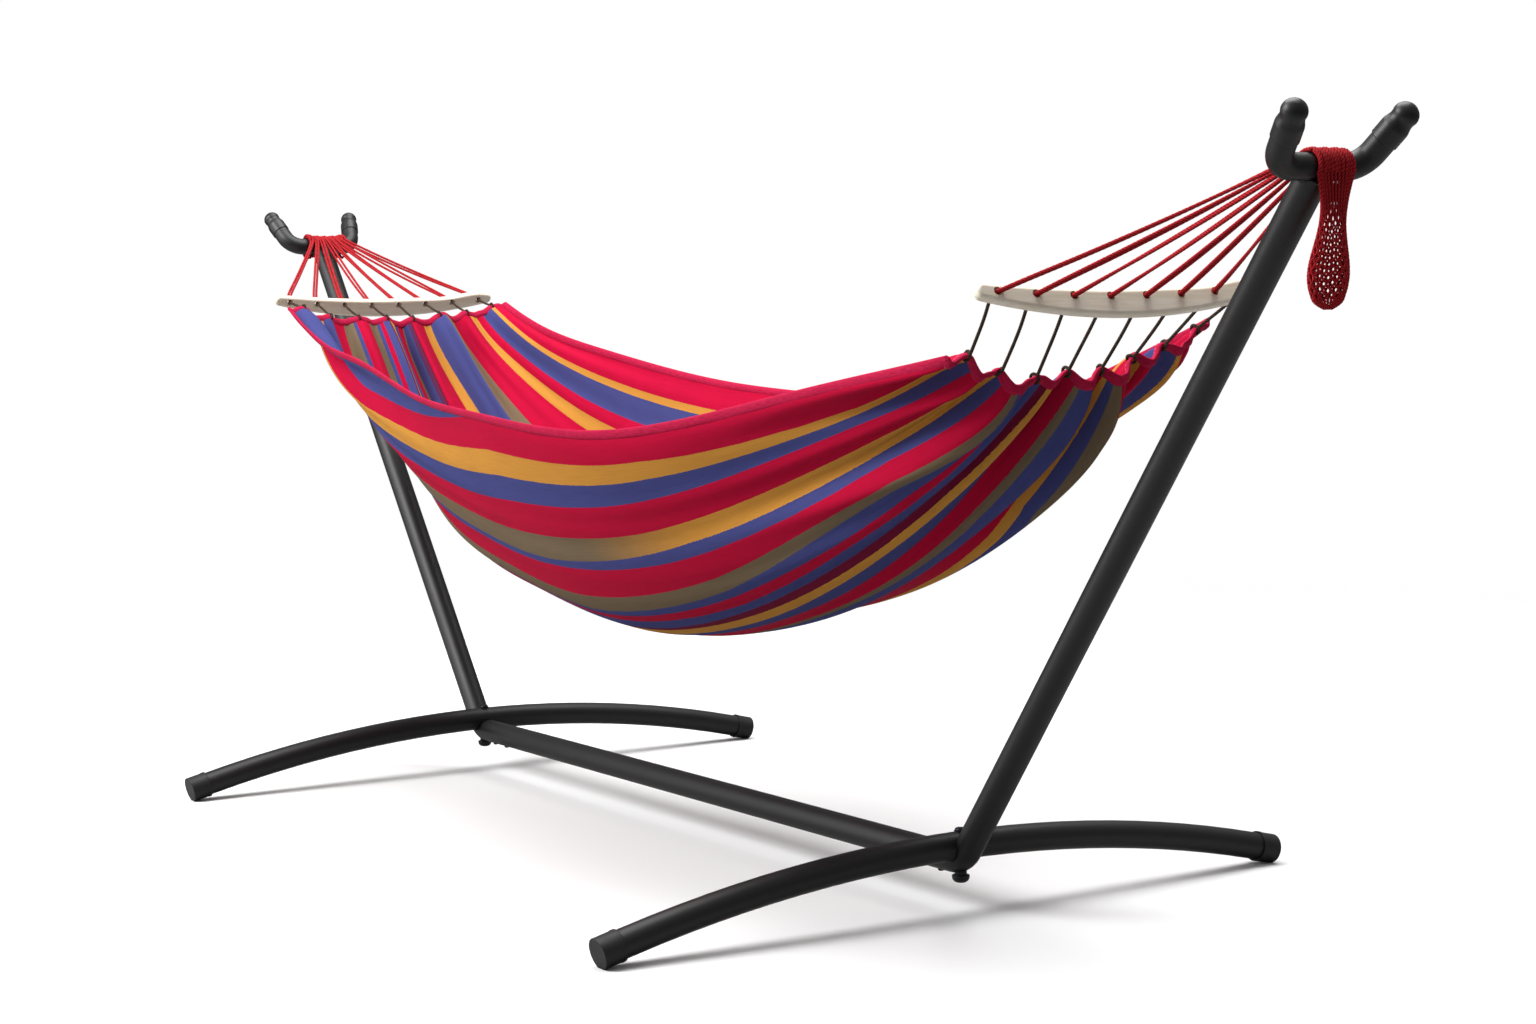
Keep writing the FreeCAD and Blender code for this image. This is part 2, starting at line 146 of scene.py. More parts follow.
def framesAlong(path, reference):
    # two directions across a path at each of its points: one at right angles to the path and the
    # reference direction, the other at right angles to it and to the path
    tangent = unit(np.gradient(path, axis=0))
    side = unit(np.cross(tangent, np.asarray(reference, float)))
    return side, np.cross(side, tangent)


def lengthAlong(path):
    # distance from the path's first point to each of its points
    steps = np.linalg.norm(np.diff(path, axis=0), axis=1)
    return np.concatenate([[0.0], np.cumsum(steps)])


def resampled(path, count):
    # the same path with evenly spaced points
    along = lengthAlong(path)
    places = np.linspace(0, along[-1], count)
    return np.stack([np.interp(places, along, path[:, axis]) for axis in range(3)], 1)


def ropeMesh(name, path, radius, reference, sides=10, plies=3, groove=0.16):
    # a laid cord: a tube whose radius is largest on the crowns of its plies and smallest in the
    # grooves between them, the pattern turning once round in each cordLay of length.
    # radius may be one value or one for each point of the path
    along = lengthAlong(path)
    turn = np.linspace(0, 2 * np.pi, sides, endpoint=False)
    crown = np.abs(np.cos((turn[None] * plies - 2 * np.pi * plies * along[:, None] / cordLay) / 2))
    reach = np.broadcast_to(np.asarray(radius, float), along.shape)[:, None] * (1 - groove + groove * crown)
    side, upward = framesAlong(path, reference)
    across = np.cos(turn)[None, :, None] * side[:, None] + np.sin(turn)[None, :, None] * upward[:, None]
    points = path[:, None] + across * reach[..., None]
    closed = np.linspace(0, 1, sides + 1)
    uv = np.stack(np.broadcast_arrays(along[:, None], closed[None]), -1)
    return gridMesh(name, points[:, ::-1], closedColumns=True, uv=uv, caps=True)


def cordLine(points, count):
    # the smooth line of a cord: a NURBS curve with the route's points as control points, read back
    curve = bpy.data.curves.new("cordRoute", "CURVE")
    curve.dimensions = "3D"
    curve.resolution_u = 24
    spline = curve.splines.new("NURBS")
    spline.points.add(len(points) - 1)
    spline.points.foreach_set("co", np.concatenate([points, np.ones((len(points), 1))], 1).ravel())
    spline.order_u = 3
    spline.use_endpoint_u = True
    holder = bpy.data.objects.new("cordRoute", curve)
    mesh = bpy.data.meshes.new_from_object(holder)
    line = np.zeros(len(mesh.vertices) * 3)
    mesh.vertices.foreach_get("co", line)
    bpy.data.objects.remove(holder)
    bpy.data.meshes.remove(mesh)
    bpy.data.curves.remove(curve)
    return resampled(line.reshape(-1, 3), count)


def naturalSpline(knots, values, places):
    # the cubic through all knots with no bend at its two ends: its second derivatives come from one
    # linear system, and each span mixes its two knots and their derivatives
    knots, values = np.asarray(knots, float), np.asarray(values, float)
    spans = np.diff(knots)
    count = len(knots)
    system = np.eye(count)
    right = np.zeros_like(values)
    middle = np.arange(1, count - 1)
    system[middle, middle - 1] = spans[:-1]
    system[middle, middle] = 2 * (spans[:-1] + spans[1:])
    system[middle, middle + 1] = spans[1:]
    slopes = np.diff(values, axis=0) / spans[:, None]
    right[1:-1] = 6 * np.diff(slopes, axis=0)
    bends = np.linalg.solve(system, right)
    span = np.clip(np.searchsorted(knots, places) - 1, 0, count - 2)
    width = spans[span]
    low = ((knots[span + 1] - places) / width)[:, None]
    high = 1 - low
    curved = (low ** 3 - low) * bends[span] + (high ** 3 - high) * bends[span + 1]
    return low * values[span] + high * values[span + 1] + curved * (width ** 2)[:, None] / 6


# the cradle tube that the loops lie over: its axis and radius
hook = {"x": 1.542, "z": 1.037, "tubeRadius": 0.017}
cordLay = 0.014            # length in which the plies of a cord turn once


# Materials, each named for what it is

def powderCoatedSteel():
    # satin black powder coat on steel tube: a dark, even skin with a soft sheen and faint orange peel
    material, shader = newSurface("powderCoatedSteel", {"Specular IOR Level": 0.4})
    place = addNode(material, "TexCoord").outputs["Object"]
    cloud = addNode(material, "TexNoise", {"Vector": place, "Scale": 9.0, "Detail": 4.0})
    tint = addNode(material, "ValToRGB", {"Fac": cloud.outputs["Fac"]})
    tint.color_ramp.elements[0].color = linear("0b0b0c")
    tint.color_ramp.elements[1].color = linear("141416")
    feed(material, shader, "Base Color", tint.outputs["Color"])
    sheen = addNode(material, "MapRange", {"Value": cloud.outputs["Fac"], "To Min": 0.42,
                                           "To Max": 0.52})
    feed(material, shader, "Roughness", sheen.outputs["Result"])
    # orange peel is about 2 mm across
    peel = addNode(material, "TexNoise", {"Vector": place, "Scale": 480.0, "Detail": 2.0})
    # the bevel evens out the small facets of bent tube
    even = addNode(material, "Bevel", {"Radius": 0.003}, samples=8)
    bump = addNode(material, "Bump", {"Height": peel.outputs["Fac"], "Strength": 0.04,
                                      "Distance": 0.0001, "Normal": even.outputs["Normal"]})
    feed(material, shader, "Normal", bump.outputs["Normal"])
    return material


def mouldedPlastic(name, code, roughness, grain):
    # injection moulded polyethylene or rubber: dull, with a fine spark-eroded grain of about 1 mm and
    # broad scuffs some 30 mm across that change its sheen
    material, shader = newSurface(name, {"Base Color": linear(code), "Roughness": roughness,
                                         "Specular IOR Level": 0.4})
    place = addNode(material, "TexCoord").outputs["Object"]
    spots = addNode(material, "TexNoise", {"Vector": place, "Scale": grain, "Detail": 3.0})
    scuffs = addNode(material, "TexNoise", {"Vector": place, "Scale": 30.0, "Detail": 3.0})
    dull = addNode(material, "MapRange", {"Value": scuffs.outputs["Fac"], "To Min": roughness - 0.08,
                                          "To Max": roughness + 0.12})
    feed(material, shader, "Roughness", dull.outputs["Result"])
    even = addNode(material, "Bevel", {"Radius": 0.002}, samples=8)
    bump = addNode(material, "Bump", {"Height": spots.outputs["Fac"], "Strength": 0.04,
                                      "Distance": 0.0001, "Normal": even.outputs["Normal"]})
    feed(material, shader, "Normal", bump.outputs["Normal"])
    return material


def blackOxideSteel():
    # black oxide on machined bolts: dark grey metal, a little brighter where it was turned
    material, shader = newSurface("blackOxideSteel", {"Base Color": linear("2c2d30"), "Metallic": 1.0,
                                                      "Roughness": 0.42})
    place = addNode(material, "TexCoord").outputs["Object"]
    turned = addNode(material, "TexNoise", {"Vector": place, "Scale": 260.0, "Detail": 5.0})
    rough = addNode(material, "MapRange", {"Value": turned.outputs["Fac"], "To Min": 0.34,
                                           "To Max": 0.52})
    feed(material, shader, "Roughness", rough.outputs["Result"])
    return material


def zincPlate():
    # zinc plated tube, hidden inside the seams: grey metal with blotches some 8 mm across
    material, shader = newSurface("zincPlate", {"Base Color": linear("a9abad"), "Metallic": 1.0,
                                                "Roughness": 0.4})
    place = addNode(material, "TexCoord").outputs["Object"]
    blotch = addNode(material, "TexVoronoi", {"Vector": place, "Scale": 120.0})
    rough = addNode(material, "MapRange", {"Value": blotch.outputs["Distance"], "To Min": 0.32,
                                           "To Max": 0.5})
    feed(material, shader, "Roughness", rough.outputs["Result"])
    return material


def sandedBeech():
    # sanded, unvarnished beech: cream with long faint grain along the bar and short darker flecks
    material, shader = newSurface("sandedBeech", {"Base Color": linear("ded2bb"), "Roughness": 0.58,
                                                  "Specular IOR Level": 0.35})
    place = addNode(material, "TexCoord").outputs["Object"]
    stretched = addNode(material, "Mapping", {"Vector": place, "Scale": (1.0, 0.06, 1.0)})
    grain = addNode(material, "TexNoise", {"Vector": stretched.outputs["Vector"], "Scale": 260.0,
                                           "Detail": 7.0, "Distortion": 0.4})
    broad = addNode(material, "TexNoise", {"Vector": stretched.outputs["Vector"], "Scale": 40.0})
    tint = addNode(material, "ValToRGB", {"Fac": grain.outputs["Fac"]})
    tint.color_ramp.elements[0].position = 0.3
    tint.color_ramp.elements[0].color = linear("ebe2d0")
    tint.color_ramp.elements[1].position = 0.62
    tint.color_ramp.elements[1].color = linear("f6f0e4")
    shade = addNode(material, "ValToRGB", {"Fac": broad.outputs["Fac"]})
    shade.color_ramp.elements[0].color = linear("e9e2d4")
    shade.color_ramp.elements[1].color = linear("ffffff")
    mixed = addNode(material, "MixRGB", {"Fac": 1.0, "Color1": tint.outputs["Color"],
                                         "Color2": shade.outputs["Color"]}, blend_type="MULTIPLY")
    feed(material, shader, "Base Color", mixed.outputs["Color"])
    bump = addNode(material, "Bump", {"Height": grain.outputs["Fac"], "Strength": 0.25,
                                      "Distance": 0.0005})
    feed(material, shader, "Normal", bump.outputs["Normal"])
    return material


def laidCotton(name, crownCode, grooveShadeCode):
    # cotton cord laid from three plies: dull, with painted shade darkening the grooves between the plies, with
    # fine fibres along the lay
    material, shader = newSurface(name, {"Base Color": linear(crownCode), "Roughness": 0.9,
                                         "Specular IOR Level": 0.15})
    uv = addNode(material, "TexCoord").outputs["UV"]
    parts = addNode(material, "SeparateXYZ", {"Vector": uv})
    turns = addNode(material, "Math", {0: parts.outputs["X"], 1: -1 / cordLay}, operation="MULTIPLY")
    phase = addNode(material, "Math", {0: parts.outputs["Y"], 1: turns.outputs[0]}, operation="ADD")
    waves = addNode(material, "Math", {0: phase.outputs[0], 1: 3 * math.pi}, operation="MULTIPLY")
    wave = addNode(material, "Math", {0: waves.outputs[0]}, operation="COSINE")
    crown = addNode(material, "Math", {0: wave.outputs[0]}, operation="ABSOLUTE")
    place = addNode(material, "TexCoord").outputs["Object"]
    fibre = addNode(material, "TexNoise", {"Vector": place, "Scale": 700.0, "Detail": 3.0})
    fibresAndGrooveShade = addNode(material, "Math", {0: fibre.outputs["Fac"], 1: crown.outputs[0]},
                   operation="MULTIPLY")
    # painted shade: the ramp darkens the colour towards the groove colour in the grooves between the plies,
    # and the fibre noise varies it at random
    tint = addNode(material, "ValToRGB", {"Fac": fibresAndGrooveShade.outputs[0]})
    tint.color_ramp.elements[0].position = 0.05
    tint.color_ramp.elements[0].color = linear(grooveShadeCode)
    tint.color_ramp.elements[1].position = 0.55
    tint.color_ramp.elements[1].color = linear(crownCode)
    feed(material, shader, "Base Color", tint.outputs["Color"])
    bump = addNode(material, "Bump", {"Height": fibresAndGrooveShade.outputs[0], "Strength": 0.5,
                                      "Distance": 0.0008})
    feed(material, shader, "Normal", bump.outputs["Normal"])
    return material


# the cloth's stripes from the front edge to the back edge: colour, and share of the cloth's width in
# thousandths near the left end, in the middle, further right and near the right end
stripeColours = {"red": "b00632", "gold": "c08638", "blue": "40447a", "olive": "6f5f4a", "plum": "582a4c",
                 "maroon": "6c1230"}
stripeKnots = (0.16, 0.5, 0.7, 0.9)        # where along the cloth these four widths hold, as a share of it
stripes = [
    ("blue", 80, 1, 1, 1), ("red", 33, 55, 49, 75), ("gold", 38, 40, 31, 12), ("blue", 44, 43, 35, 17),
    ("red", 50, 60, 53, 50), ("olive", 40, 47, 33, 35), ("blue", 14, 12, 27, 16), ("red", 50, 57, 47, 25),
    ("olive", 42, 38, 29, 19), ("blue", 13, 10, 16, 40), ("red", 16, 19, 29, 22), ("blue", 25, 29, 17, 33),
    ("maroon", 1, 1, 15, 24), ("gold", 26, 28, 27, 13), ("blue", 14, 20, 22, 56), ("red", 26, 34, 32, 29),
    ("olive", 6, 8, 8, 7), ("blue", 16, 24, 40, 46), ("plum", 10, 10, 8, 2), ("maroon", 8, 8, 6, 2),
    ("red", 58, 58, 56, 51), ("gold", 28, 31, 30, 8), ("blue", 62, 76, 70, 10), ("olive", 46, 42, 40, 20),
    ("red", 80, 73, 76, 80), ("gold", 30, 38, 38, 30), ("red", 30, 31, 31, 60), ("blue", 46, 42, 42, 60),
    ("gold", 16, 14, 14, 20), ("red", 60, 56, 56, 137),
]
turningStripe = 5                          # this olive stripe is dyed towards gold at the right end
turningStart, turningEnd = 1.38, 1.76      # where along the cloth its colour turns
clothWidth = 1.1
threadPitch = 0.0018
stripeWidths = np.array([row[1:] for row in stripes], float)
stripeWidths /= stripeWidths.sum(0)
stripeEdges = np.concatenate([np.zeros((1, 4)), np.cumsum(stripeWidths, 0)])
wovenEdges = stripeEdges.mean(1)            # as woven, before the cloth is pulled askew


def stripeRamp(material, factor, turned):
    # a ramp with one flat stop for each stripe
    node = addNode(material, "ValToRGB", {"Fac": factor})
    ramp = node.color_ramp
    ramp.interpolation = "CONSTANT"
    for number, row in enumerate(stripes):
        stop = ramp.elements[0] if number == 0 else ramp.elements.new(wovenEdges[number])
        if number == 0:
            stop.position = 0.0
            ramp.elements.remove(ramp.elements[1])
        word = "gold" if turned and number == turningStripe else row[0]
        stop.color = linear(stripeColours[word])
    return node.outputs["Color"]


def wovenStripes():
    # plain woven cotton with dyed warp stripes: dull, soft, slightly uneven threads. UV is in metres:
    # X along the stripes, Y across them. Threads are drawn twice as far apart as real ones, to show
    material, shader = newSurface("wovenStripes", {"Roughness": 0.9, "Specular IOR Level": 0.08})
    uv = addNode(material, "TexCoord").outputs["UV"]
    parts = addNode(material, "SeparateXYZ", {"Vector": uv})
    # each stripe's edge wanders by up to 1.2 mm
    stray = addNode(material, "TexNoise", {"Vector": uv, "Scale": 160.0, "Detail": 3.0})
    shift = addNode(material, "MapRange", {"Value": stray.outputs["Fac"], "To Min": -0.0012,
                                           "To Max": 0.0012})
    across = addNode(material, "Math", {0: parts.outputs["Y"], 1: shift.outputs["Result"]},
                     operation="ADD")
    share = addNode(material, "Math", {0: across.outputs[0], 1: 1 / clothWidth}, operation="MULTIPLY")
    plain = stripeRamp(material, share.outputs[0], False)
    turned = stripeRamp(material, share.outputs[0], True)
    change = addNode(material, "MapRange", {"Value": parts.outputs["X"], "From Min": turningStart,
                                            "From Max": turningEnd}, interpolation_type="SMOOTHSTEP")
    colour = addNode(material, "MixRGB", {"Fac": change.outputs["Result"], "Color1": plain,
                                          "Color2": turned})
    # threads: warp and weft waves multiplied give the over and under of a plain weave
    beat = 2 * math.pi / threadPitch
    warp = addNode(material, "Math", {0: parts.outputs["Y"], 1: beat}, operation="MULTIPLY")
    weft = addNode(material, "Math", {0: parts.outputs["X"], 1: beat}, operation="MULTIPLY")
    warpWave = addNode(material, "Math", {0: warp.outputs[0]}, operation="SINE")
    weftWave = addNode(material, "Math", {0: weft.outputs[0]}, operation="SINE")
    weave = addNode(material, "Math", {0: warpWave.outputs[0], 1: weftWave.outputs[0]},
                    operation="MULTIPLY")
    # slubs: streaks a thread wide and some 60 mm long
    long = addNode(material, "Mapping", {"Vector": uv, "Scale": (16.0, 520.0, 1.0)})
    slub = addNode(material, "TexNoise", {"Vector": long.outputs["Vector"], "Scale": 1.0,
                                          "Detail": 3.0})
    fade = addNode(material, "TexNoise", {"Vector": uv, "Scale": 7.0, "Detail": 3.0})
    streaks = addNode(material, "MapRange", {"Value": slub.outputs["Fac"], "To Min": 0.80,
                                             "To Max": 1.16})
    sunned = addNode(material, "MapRange", {"Value": fade.outputs["Fac"], "To Min": 0.92,
                                            "To Max": 1.08})
    # painted shade: the colour is a little darker where the weave sinks between the threads and lighter where
    # it rises
    grid = addNode(material, "MapRange", {"Value": weave.outputs[0], "From Min": -1.0, "To Min": 0.93,
                                          "To Max": 1.05})
    tone = addNode(material, "Math", {0: streaks.outputs[0], 1: sunned.outputs[0]},
                   operation="MULTIPLY")
    tone = addNode(material, "Math", {0: tone.outputs[0], 1: grid.outputs[0]}, operation="MULTIPLY")
    shaded = addNode(material, "VectorMath", {0: colour.outputs["Color"], "Scale": tone.outputs[0]},
                     operation="SCALE")
    feed(material, shader, "Base Color", shaded.outputs["Vector"])
    rise = addNode(material, "Math", {0: weave.outputs[0], 1: slub.outputs["Fac"]}, operation="ADD")
    bump = addNode(material, "Bump", {"Height": rise.outputs[0], "Strength": 0.35,
                                      "Distance": 0.0007})
    feed(material, shader, "Normal", bump.outputs["Normal"])
    return material


def stitchedHem():
    # the cloth's red edge rolled and sewn: dull cotton with a row of stitches 6 mm long
    material, shader = newSurface("stitchedHem", {"Roughness": 0.88, "Specular IOR Level": 0.12})
    uv = addNode(material, "TexCoord").outputs["UV"]
    parts = addNode(material, "SeparateXYZ", {"Vector": uv})
    beat = addNode(material, "Math", {0: parts.outputs["X"], 1: 2 * math.pi / 0.006},
                   operation="MULTIPLY")
    wave = addNode(material, "Math", {0: beat.outputs[0]}, operation="SINE")
    dash = addNode(material, "Math", {0: wave.outputs[0], 1: -0.35}, operation="GREATER_THAN")
    row = addNode(material, "Math", {0: parts.outputs["Y"], 1: 0.25, 2: 0.035}, operation="COMPARE")
    stitch = addNode(material, "Math", {0: dash.outputs[0], 1: row.outputs[0]}, operation="MULTIPLY")
    long = addNode(material, "Mapping", {"Vector": uv, "Scale": (30.0, 12.0, 1.0)})
    slub = addNode(material, "TexNoise", {"Vector": long.outputs["Vector"], "Scale": 3.0,
                                          "Detail": 4.0})
    tint = addNode(material, "ValToRGB", {"Fac": slub.outputs["Fac"]})
    tint.color_ramp.elements[0].position = 0.3
    tint.color_ramp.elements[0].color = linear("8f0a2e")
    tint.color_ramp.elements[1].position = 0.7
    tint.color_ramp.elements[1].color = linear("b81a45")
    colour = addNode(material, "MixRGB", {"Fac": stitch.outputs[0], "Color1": tint.outputs["Color"],
                                          "Color2": linear("cf4266")})
    feed(material, shader, "Base Color", colour.outputs["Color"])
    rise = addNode(material, "Math", {0: stitch.outputs[0], 1: slub.outputs["Fac"]}, operation="ADD")
    bump = addNode(material, "Bump", {"Height": rise.outputs[0], "Strength": 0.5,
                                      "Distance": 0.0008})
    feed(material, shader, "Normal", bump.outputs["Normal"])
    return material


steelBlack = powderCoatedSteel()
capPlastic = mouldedPlastic("mouldedCapPlastic", "121213", 0.55, 900.0)
tipRubber = mouldedPlastic("hornTipRubber", "111112", 0.4, 1200.0)
boltBlack = blackOxideSteel()
sleeveZinc = zincPlate()
barWood = sandedBeech()
redCotton = laidCotton("redLaidCotton", "bc222a", "5e0c10")
darkCotton = laidCotton("darkLaidCotton", "4a3b31", "16100c")
cloth = wovenStripes()
hemCloth = stitchedHem()
print("materials made")


# The steel, plastic and wooden parts keep their own shapes and get their finish

finishes = {
    "base_beam": steelBlack, "post_": steelBlack, "foot_tube_": steelBlack, "cradle_": steelBlack,
    "foot_cap_": capPlastic, "foot_knob_": capPlastic, "horn_tip_": tipRubber, "foot_washers_": boltBlack,
    "foot_bolt_": boltBlack, "seam_screws_": boltBlack, "beam_sleeve_": sleeveZinc, "spreader_bar_": barWood,
}
for nodeName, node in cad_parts.items():
    for prefix, material in finishes.items():
        if nodeName.startswith(prefix):
            node.data.materials.clear()
            node.data.materials.append(material)
print("parts finished")


# Weld beads between posts and cradles

# the post runs from its lower corner, at cornerX and cornerZ, to the cradle's axis
weld = {"postRadius": 0.021, "cornerX": 0.797, "cornerZ": 0.076, "gap": 0.0006, "leastBelow": 0.011,
        "bead": 0.0026, "ripple": 0.0004, "drops": 34}


def weldBead(side):
    # a bead laid round a post's open end where it meets the cradle: the curve in which two round tubes
    # at right angles meet, kept a little outside both, with a ripple for each drop of the weld
    turn = np.linspace(0, 2 * np.pi, 220, endpoint=False)
    lean = math.atan2(hook["x"] - weld["cornerX"], hook["z"] - weld["cornerZ"])
    beside = weld["postRadius"] * np.cos(turn)[:, None]
    across = weld["postRadius"] * np.sin(turn)[:, None] * np.array([0, 1.0, 0])
    below = np.sqrt(np.maximum((hook["tubeRadius"] + weld["gap"]) ** 2 - beside ** 2, weld["leastBelow"] ** 2))
    along = np.array([side * math.sin(lean), 0, math.cos(lean)])
    sideways = np.array([side * math.cos(lean), 0, -math.sin(lean)])
    centre = np.array([side * hook["x"], 0, hook["z"]]) - below * along + beside * sideways + across
    outward = unit(beside * sideways + across)
    forward = unit(np.roll(centre, -1, 0) - np.roll(centre, 1, 0))
    upward = np.cross(forward, outward)
    ring = np.linspace(0, 2 * np.pi, 12, endpoint=False)
    size = weld["bead"] + weld["ripple"] * np.cos(turn * weld["drops"])
    points = centre[:, None] + size[:, None, None] * (np.cos(ring)[None, :, None] * outward[:, None]
                                                      + np.sin(ring)[None, :, None] * upward[:, None])
    return gridMesh("weldBead", points if side > 0 else points[:, ::-1], closedRows=True, closedColumns=True)


for word, side in (("right", 1), ("left", -1)):
    newPiece("weldBead_" + word, weldBead(side), steelBlack, "stand")
print("weld beads made")


# The cloth

bed = {
    # place along X, half width at the rim, height of the rim, height of the bottom, lift of the back rim
    "sections": [(-1.148, 0.240, 0.905, 0.876, 0.002), (-0.960, 0.244, 0.842, 0.674, 0.008),
                 (-0.760, 0.266, 0.807, 0.496, 0.001), (-0.360, 0.325, 0.745, 0.378, 0.0),
                 (0.000, 0.373, 0.720, 0.341, 0.0), (0.360, 0.345, 0.701, 0.381, 0.0),
                 (0.760, 0.262, 0.762, 0.526, 0.001), (0.940, 0.240, 0.801, 0.646, 0.011),
                 (1.095, 0.222, 0.834, 0.782, 0.021)],
    "power": 2.3,              # how flat the bottom of a section is
    "rows": 250, "columns": 160,
    "flatWidth": 1.13, "flatLength": 2.45, "thickness": 0.0022,
    "pleats": 8,               # one at each cord's tie
    "pleatDepth": 0.020,
    "pleatReach": 0.19,        # how far from the end a pleat falls to a third
    "pleatRise": 0.7,          # how much shallower a pleat is at the very end
    "endReach": 0.05,          # how far the scalloped end reaches in
    "scallop": 0.008,          # depth of the scallops between the ties
    "flatEdge": 0.05,          # share of the half width along which the folds die out towards the rim
    "dragDepth": 0.04, "dragWaves": (3, 5, 11, 13, 19, 23, 29),
    "rightFolds": 1.6,         # how much deeper the folds of the right end are
    "crease": 0.013, "creaseWidth": 0.02, "creaseReach": 0.3,
    "swell": 0.003,            # the broad unevenness of the whole cloth
}


def bedBase(places, shares):
    # the smooth trough: half width and heights from the sections' spline, each section a power curve,
    # with shares from -1 to 1 counted along the curve's own length
    width, rim, bottom, lift = naturalSpline([row[0] for row in bed["sections"]],
                                             [row[1:] for row in bed["sections"]], places).T
    turn = np.linspace(-np.pi / 2, np.pi / 2, 600)[None]
    y = width[:, None] * np.sin(turn)
    z = bottom[:, None] + (rim - bottom)[:, None] * np.abs(np.sin(turn)) ** bed["power"] \
        + lift[:, None] * np.sin(turn)
    steps = np.hypot(np.diff(y, axis=1), np.diff(z, axis=1))
    along = np.concatenate([np.zeros((len(places), 1)), np.cumsum(steps, 1)], 1)
    along /= along[:, -1:]
    # one long interpolation for all sections at once: each is shifted by twice its number
    apart = 2.0 * np.arange(len(places))[:, None]
    wanted = ((shares[None] + 1) / 2 + apart).ravel()
    known = (along + apart).ravel()
    y = np.interp(wanted, known, y.ravel()).reshape(len(places), -1)
    z = np.interp(wanted, known, z.ravel()).reshape(len(places), -1)
    return np.stack([np.broadcast_to(places[:, None], y.shape), y, z], -1)


def inwardNormals(points):
    # unit normals of a grid surface, pointing up and into the trough
    return unit(np.cross(np.gradient(points, axis=0), np.gradient(points, axis=1)))


def bedSurface():
    # the trough with pleats: each falls from the ends with distance, lifted where a cord pulls and
    # sagging between, plus fainter drag lines of several widths that reach further in. The sines with
    # odd factors make neighbouring folds unlike
    first, last = bed["sections"][0][0], bed["sections"][-1][0]
    step = np.linspace(0, 1, bed["rows"])
    eased = 0.45 * step + 0.55 * (1 - np.cos(np.pi * step)) / 2
    places = first + (last - first) * eased
    shares = np.linspace(-1, 1, bed["columns"])
    base = bedBase(places, shares)
    normal = inwardNormals(base)
    fromLeft, fromRight = (places - first)[:, None], (last - places)[:, None]
    q = shares[None]
    wave = -np.cos(np.pi * bed["pleats"] * q)
    uneven = 1 + 0.3 * np.sin(5.1 * q + 0.6) + 0.2 * np.sin(11.7 * q + 2.0)
    reach = bed["pleatReach"] * (1 + 0.45 * np.sin(7.3 * q + 1.1))
    edge = np.clip((1 - np.abs(q)) / bed["flatEdge"], 0, 1)
    edge = edge * edge * (3 - 2 * edge)
    strength = 1 + (bed["rightFolds"] - 1) * step[:, None]
    fall = sum(np.exp(-far / reach) * (1 - bed["pleatRise"] * np.exp(-far / bed["endReach"]))
               for far in (fromLeft, fromRight))
    depth = bed["pleatDepth"] * strength * wave * uneven * fall
    rng = np.random.default_rng(7)
    for number in bed["dragWaves"]:
        phase, size, far = rng.uniform(0, 6.28), rng.uniform(0.6, 1.2), rng.uniform(0.2, 0.45)
        drag = np.sin(np.pi * number * q + phase + 2.5 * fromLeft)
        fall = sum(np.exp(-end / far) * (1 - 0.8 * np.exp(-end / 0.06)) for end in (fromLeft, fromRight))
        depth = depth + bed["dragDepth"] / number * size * drag * fall * strength
    # sharp creases that run inward from between the cords and lean towards the front
    for far, drift, size in ((fromRight, -0.22, 1.0), (fromLeft, -0.1, 0.5)):
        for number in range(bed["pleats"] - 1):
            middle = (2 * number + 2 - bed["pleats"]) / bed["pleats"] + 0.05 * math.sin(number * 2.4)
            reach = bed["creaseReach"] * (1 + 0.4 * math.sin(number * 1.7 + 0.5))
            across = (q - middle - drift * far) / (bed["creaseWidth"] * (1 + far / 0.3))
            depth = depth - bed["crease"] * size * np.exp(-across ** 2) * np.exp(-far / reach) \
                * (1 - np.exp(-far / 0.03))
    broad = bed["swell"] * np.sin(3.1 * q + 4.0 * places[:, None]) * np.sin(np.pi * step)[:, None]
    points = base + normal * ((depth + broad) * edge)[..., None]
    near = np.exp(-fromRight / bed["endReach"]) - np.exp(-fromLeft / bed["endReach"])
    points[..., 0] += bed["scallop"] * (wave - 1) / 2 * near * (0.75 + 0.25 * uneven)
    return points, shares, eased


bedPoints, bedShares, bedEased = bedSurface()
alongCloth = np.broadcast_to((bedEased * bed["flatLength"])[:, None], bedPoints.shape[:2])


def stripePlaces():
    # where each point lies across the cloth as woven: a row's stripe edges lie between those of the two
    # nearest places where the widths are given
    rows = []
    for place in bedEased:
        own = [np.interp(place, stripeKnots, edge) for edge in stripeEdges]
        rows.append(np.interp((bedShares + 1) / 2, own, wovenEdges) * clothWidth)
    return np.array(rows)


acrossCloth = stripePlaces()
bedMesh = gridMesh("hammockCloth", bedPoints, uv=np.stack([alongCloth, acrossCloth], -1))
clothPiece = newPiece("hammockCloth", bedMesh, cloth, "hammock", ["hammock_bed"])
wall = clothPiece.modifiers.new("clothThickness", "SOLIDIFY")
wall.thickness = bed["thickness"]
wall.offset = 0.0
print("cloth made:", len(bedMesh.polygons), "cells")


# half width and half thickness of the hems, how far in from the edge they lie, how they puff up
hem = {"side": (0.0075, 0.0032), "end": (0.008, 0.0036), "inset": 0.6, "puff": 0.12, "puffLength": 0.021}


